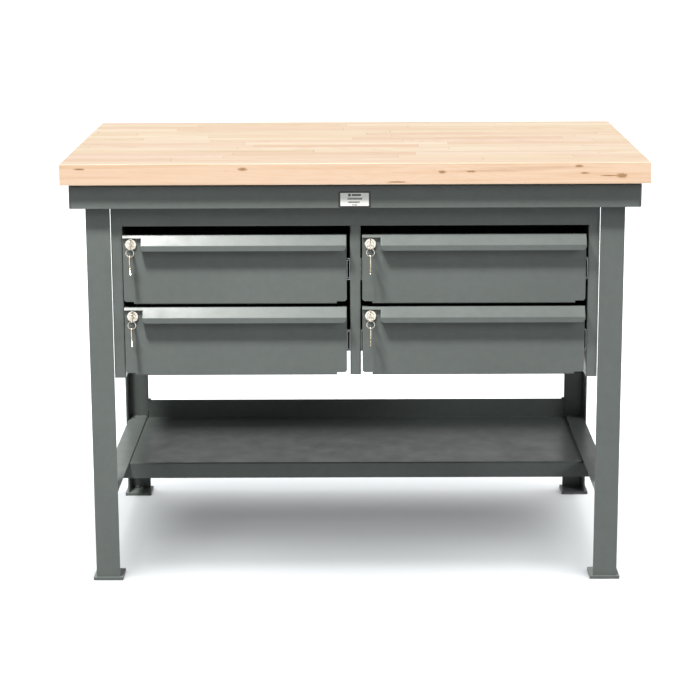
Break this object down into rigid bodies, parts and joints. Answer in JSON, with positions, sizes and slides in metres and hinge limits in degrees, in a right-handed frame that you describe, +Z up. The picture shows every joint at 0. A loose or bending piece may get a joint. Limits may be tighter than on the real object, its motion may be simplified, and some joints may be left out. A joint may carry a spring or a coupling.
{
  "type": "workbench with drawers",
  "caption": "Steel workbench with a laminated maple top, lockable full-extension drawers in two banks, angle legs on foot plates and a lower shelf.",
  "frame": {"origin": "on the floor under the middle of the worktop", "axes": "+X to the right along the bench's length, +Y from the drawer fronts to the back, +Z up"},
  "size_m": [1.2192, 0.762, 0.9081],
  "materials": {
    "grey_enamel": "semi-gloss grey enamel",
    "maple": "oiled laminated maple",
    "zinc_steel": "zinc plated",
    "nickel_lock": "polished nickel plate",
    "brass_key": "nickel silver, satin",
    "nameplate": "printed, satin"
  },
  "bodies": {
    "bench": {"worktop": "maple", "steel_top_pan": "grey_enamel", "worktop_screws": "zinc_steel", "nameplate": "nameplate", "foot_plates": "grey_enamel", "side_rails": "grey_enamel", "lower_shelf": "grey_enamel", "centre_divider": "grey_enamel", "front_header": "grey_enamel", "housing_back": "grey_enamel", "housing_sides": "grey_enamel", "leg_front_left": "grey_enamel", "leg_front_right": "grey_enamel", "leg_rear_left": "grey_enamel", "leg_rear_right": "grey_enamel", "cabinet_slide_rails": "zinc_steel"},
    "drawer_upper_left": {"drawer_box_upper_left": "grey_enamel", "drawer_front_upper_left": "grey_enamel", "drawer_pull_upper_left": "grey_enamel", "drawer_slide_rails_upper_left": "zinc_steel", "lock_barrel_upper_left": "nickel_lock"},
    "middle_rails_upper_left": {"middle_slide_rails_upper_left": "zinc_steel"},
    "lock_upper_left": {"lock_plug_upper_left": "nickel_lock", "lock_cam_upper_left": "zinc_steel"},
    "key_upper_left": {"key_upper_left": "brass_key"},
    "ring_upper_left": {"key_ring_upper_left": "nickel_lock"},
    "spare_key_upper_left": {"spare_key_upper_left": "brass_key"},
    "drawer_lower_left": {"drawer_box_lower_left": "grey_enamel", "drawer_front_lower_left": "grey_enamel", "drawer_pull_lower_left": "grey_enamel", "drawer_slide_rails_lower_left": "zinc_steel", "lock_barrel_lower_left": "nickel_lock"},
    "middle_rails_lower_left": {"middle_slide_rails_lower_left": "zinc_steel"},
    "lock_lower_left": {"lock_plug_lower_left": "nickel_lock", "lock_cam_lower_left": "zinc_steel"},
    "key_lower_left": {"key_lower_left": "brass_key"},
    "ring_lower_left": {"key_ring_lower_left": "nickel_lock"},
    "spare_key_lower_left": {"spare_key_lower_left": "brass_key"},
    "drawer_upper_right": {"drawer_box_upper_right": "grey_enamel", "drawer_front_upper_right": "grey_enamel", "drawer_pull_upper_right": "grey_enamel", "drawer_slide_rails_upper_right": "zinc_steel", "lock_barrel_upper_right": "nickel_lock"},
    "middle_rails_upper_right": {"middle_slide_rails_upper_right": "zinc_steel"},
    "lock_upper_right": {"lock_plug_upper_right": "nickel_lock", "lock_cam_upper_right": "zinc_steel"},
    "key_upper_right": {"key_upper_right": "brass_key"},
    "ring_upper_right": {"key_ring_upper_right": "nickel_lock"},
    "spare_key_upper_right": {"spare_key_upper_right": "brass_key"},
    "drawer_lower_right": {"drawer_box_lower_right": "grey_enamel", "drawer_front_lower_right": "grey_enamel", "drawer_pull_lower_right": "grey_enamel", "drawer_slide_rails_lower_right": "zinc_steel", "lock_barrel_lower_right": "nickel_lock"},
    "middle_rails_lower_right": {"middle_slide_rails_lower_right": "zinc_steel"},
    "lock_lower_right": {"lock_plug_lower_right": "nickel_lock", "lock_cam_lower_right": "zinc_steel"},
    "key_lower_right": {"key_lower_right": "brass_key"},
    "ring_lower_right": {"key_ring_lower_right": "nickel_lock"},
    "spare_key_lower_right": {"spare_key_lower_right": "brass_key"}
  },
  "joints": [
    {"name": "drawer_upper_left_slide", "type": "slide", "parent": "bench", "child": "drawer_upper_left", "axis": [0, -1, 0], "range_m": [0, 0.43]},
    {"name": "middle_rails_upper_left_slide", "type": "slide", "parent": "bench", "child": "middle_rails_upper_left", "axis": [0, -1, 0], "range_m": [0, 0.215]},
    {"name": "lock_upper_left_turn", "type": "hinge", "parent": "drawer_upper_left", "child": "lock_upper_left", "pos_m": [-0.46925, -0.3445, 0.7348], "axis": [0, 1, 0], "range_deg": [0, 90]},
    {"name": "key_upper_left_pull", "type": "slide", "parent": "lock_upper_left", "child": "key_upper_left", "axis": [0, -1, 0], "range_m": [0, 0.03]},
    {"name": "ring_upper_left_swing", "type": "hinge", "parent": "key_upper_left", "child": "ring_upper_left", "pos_m": [-0.46925, -0.3666, 0.7278], "axis": [1, 0, 0], "range_deg": [-80, 8]},
    {"name": "spare_key_upper_left_swing", "type": "hinge", "parent": "ring_upper_left", "child": "spare_key_upper_left", "pos_m": [-0.46925, -0.3666, 0.7197], "axis": [0, 1, 0], "range_deg": [-90, 0]},
    {"name": "drawer_lower_left_slide", "type": "slide", "parent": "bench", "child": "drawer_lower_left", "axis": [0, -1, 0], "range_m": [0, 0.43]},
    {"name": "middle_rails_lower_left_slide", "type": "slide", "parent": "bench", "child": "middle_rails_lower_left", "axis": [0, -1, 0], "range_m": [0, 0.215]},
    {"name": "lock_lower_left_turn", "type": "hinge", "parent": "drawer_lower_left", "child": "lock_lower_left", "pos_m": [-0.46925, -0.3445, 0.5814], "axis": [0, 1, 0], "range_deg": [0, 90]},
    {"name": "key_lower_left_pull", "type": "slide", "parent": "lock_lower_left", "child": "key_lower_left", "axis": [0, -1, 0], "range_m": [0, 0.03]},
    {"name": "ring_lower_left_swing", "type": "hinge", "parent": "key_lower_left", "child": "ring_lower_left", "pos_m": [-0.46925, -0.3666, 0.5744], "axis": [1, 0, 0], "range_deg": [-80, 8]},
    {"name": "spare_key_lower_left_swing", "type": "hinge", "parent": "ring_lower_left", "child": "spare_key_lower_left", "pos_m": [-0.46925, -0.3666, 0.5663], "axis": [0, 1, 0], "range_deg": [-90, 0]},
    {"name": "drawer_upper_right_slide", "type": "slide", "parent": "bench", "child": "drawer_upper_right", "axis": [0, -1, 0], "range_m": [0, 0.43]},
    {"name": "middle_rails_upper_right_slide", "type": "slide", "parent": "bench", "child": "middle_rails_upper_right", "axis": [0, -1, 0], "range_m": [0, 0.215]},
    {"name": "lock_upper_right_turn", "type": "hinge", "parent": "drawer_upper_right", "child": "lock_upper_right", "pos_m": [0.0317, -0.3445, 0.7348], "axis": [0, 1, 0], "range_deg": [0, 90]},
    {"name": "key_upper_right_pull", "type": "slide", "parent": "lock_upper_right", "child": "key_upper_right", "axis": [0, -1, 0], "range_m": [0, 0.03]},
    {"name": "ring_upper_right_swing", "type": "hinge", "parent": "key_upper_right", "child": "ring_upper_right", "pos_m": [0.0317, -0.3666, 0.7278], "axis": [1, 0, 0], "range_deg": [-80, 8]},
    {"name": "spare_key_upper_right_swing", "type": "hinge", "parent": "ring_upper_right", "child": "spare_key_upper_right", "pos_m": [0.0317, -0.3666, 0.7197], "axis": [0, 1, 0], "range_deg": [-90, 0]},
    {"name": "drawer_lower_right_slide", "type": "slide", "parent": "bench", "child": "drawer_lower_right", "axis": [0, -1, 0], "range_m": [0, 0.43]},
    {"name": "middle_rails_lower_right_slide", "type": "slide", "parent": "bench", "child": "middle_rails_lower_right", "axis": [0, -1, 0], "range_m": [0, 0.215]},
    {"name": "lock_lower_right_turn", "type": "hinge", "parent": "drawer_lower_right", "child": "lock_lower_right", "pos_m": [0.0317, -0.3445, 0.5814], "axis": [0, 1, 0], "range_deg": [0, 90]},
    {"name": "key_lower_right_pull", "type": "slide", "parent": "lock_lower_right", "child": "key_lower_right", "axis": [0, -1, 0], "range_m": [0, 0.03]},
    {"name": "ring_lower_right_swing", "type": "hinge", "parent": "key_lower_right", "child": "ring_lower_right", "pos_m": [0.0317, -0.3666, 0.5744], "axis": [1, 0, 0], "range_deg": [-80, 8]},
    {"name": "spare_key_lower_right_swing", "type": "hinge", "parent": "ring_lower_right", "child": "spare_key_lower_right", "pos_m": [0.0317, -0.3666, 0.5663], "axis": [0, 1, 0], "range_deg": [-90, 0]}
  ],
  "couplings": [
    {"joint": "middle_rails_upper_left_slide", "follows": "drawer_upper_left_slide", "ratio": 0.5},
    {"joint": "spare_key_upper_left_swing", "follows": "lock_upper_left_turn", "ratio": -1},
    {"joint": "middle_rails_lower_left_slide", "follows": "drawer_lower_left_slide", "ratio": 0.5},
    {"joint": "spare_key_lower_left_swing", "follows": "lock_lower_left_turn", "ratio": -1},
    {"joint": "middle_rails_upper_right_slide", "follows": "drawer_upper_right_slide", "ratio": 0.5},
    {"joint": "spare_key_upper_right_swing", "follows": "lock_upper_right_turn", "ratio": -1},
    {"joint": "middle_rails_lower_right_slide", "follows": "drawer_lower_right_slide", "ratio": 0.5},
    {"joint": "spare_key_lower_right_swing", "follows": "lock_lower_right_turn", "ratio": -1}
  ]
}
